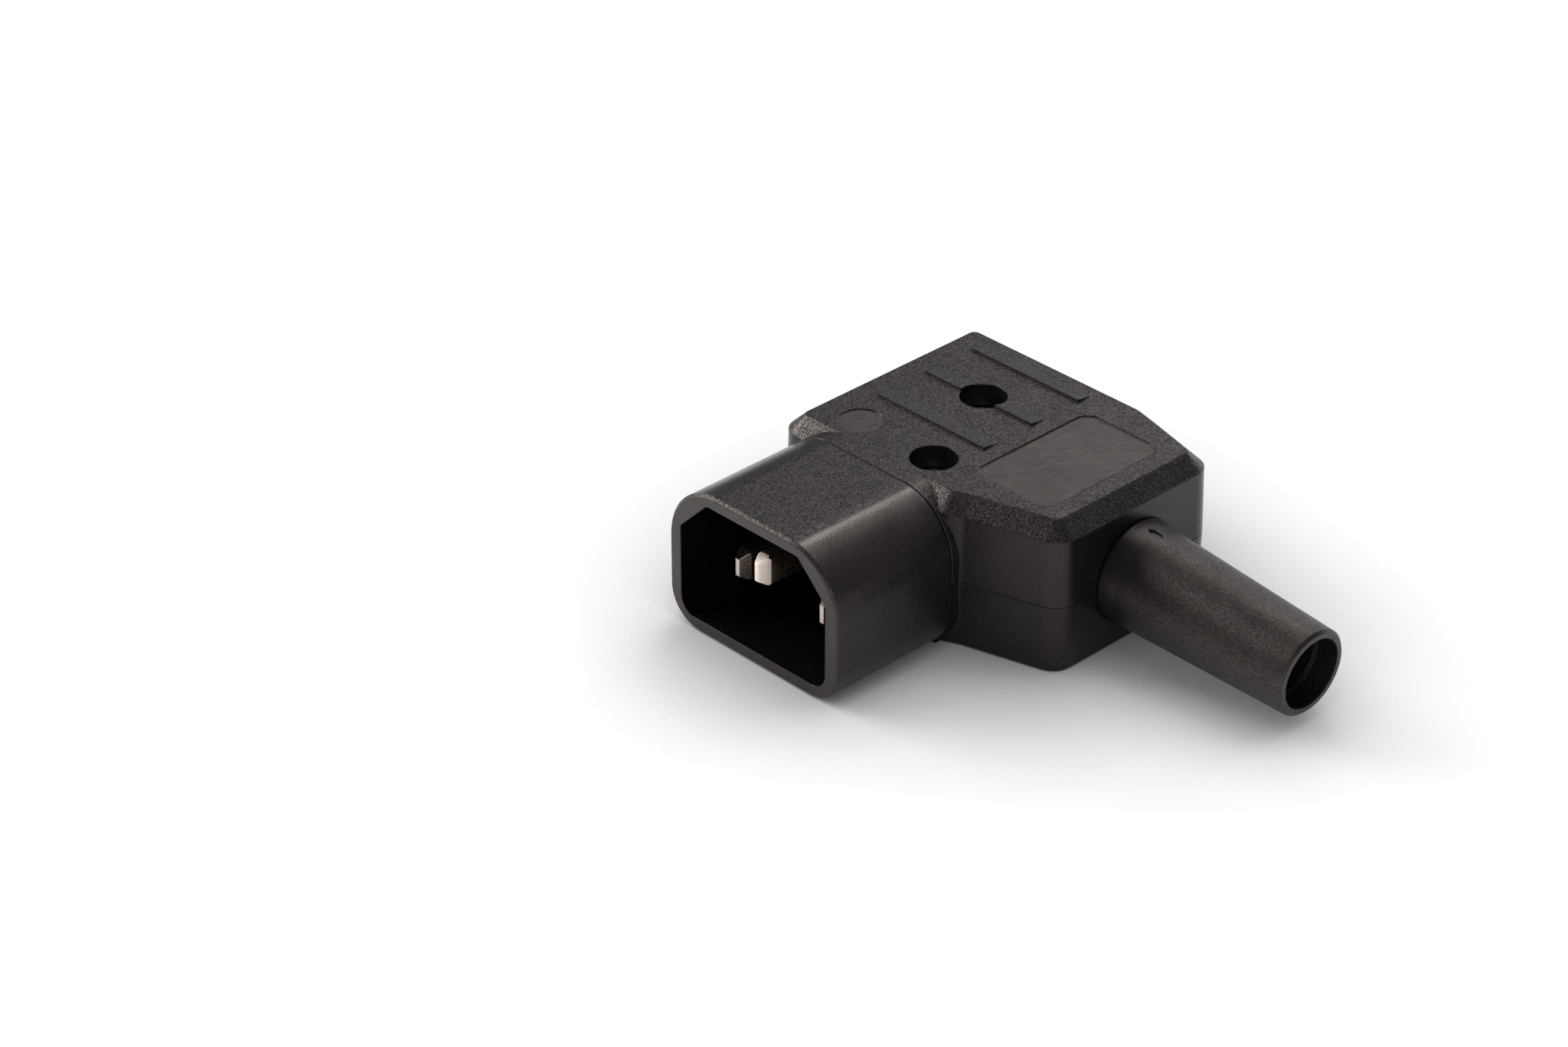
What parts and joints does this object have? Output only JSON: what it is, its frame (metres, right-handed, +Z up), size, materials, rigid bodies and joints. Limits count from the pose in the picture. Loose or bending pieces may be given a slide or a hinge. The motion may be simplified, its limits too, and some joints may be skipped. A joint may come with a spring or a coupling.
{
  "type": "right-angle appliance plug",
  "caption": "Rewireable right-angle appliance plug: flat blades in a keyed shroud, a screwed two-part housing turned ninety degrees, and a tapered bend-relief sleeve for the cord.",
  "frame": {"origin": "centre of the bounding box's bottom face, on the plane the flat underside rests on", "axes": "+X along the cord towards the sleeve's mouth, -Y out of the shroud's opening, +Z up from the flat underside"},
  "size_m": [0.0688, 0.0522, 0.0198],
  "materials": {
    "housing_plastic": "fine-grained charcoal thermoplastic",
    "sleeve_rubber": "satin black soft plastic",
    "contact_metal": "nickel-plated brass",
    "screw_steel": "zinc-plated steel",
    "clamp_plastic": "plain dark plastic"
  },
  "bodies": {
    "root": {"lower_housing": "housing_plastic", "upper_cover": "housing_plastic", "live_contact": "contact_metal", "neutral_contact": "contact_metal", "earth_contact": "contact_metal", "live_terminal_screw": "screw_steel", "neutral_terminal_screw": "screw_steel", "earth_terminal_screw": "screw_steel", "cord_clamp": "clamp_plastic", "clamp_screw_front": "screw_steel", "clamp_screw_rear": "screw_steel", "cover_screw_front": "screw_steel", "cover_screw_rear": "screw_steel", "bend_relief_sleeve": "sleeve_rubber"}
  },
  "joints": []
}
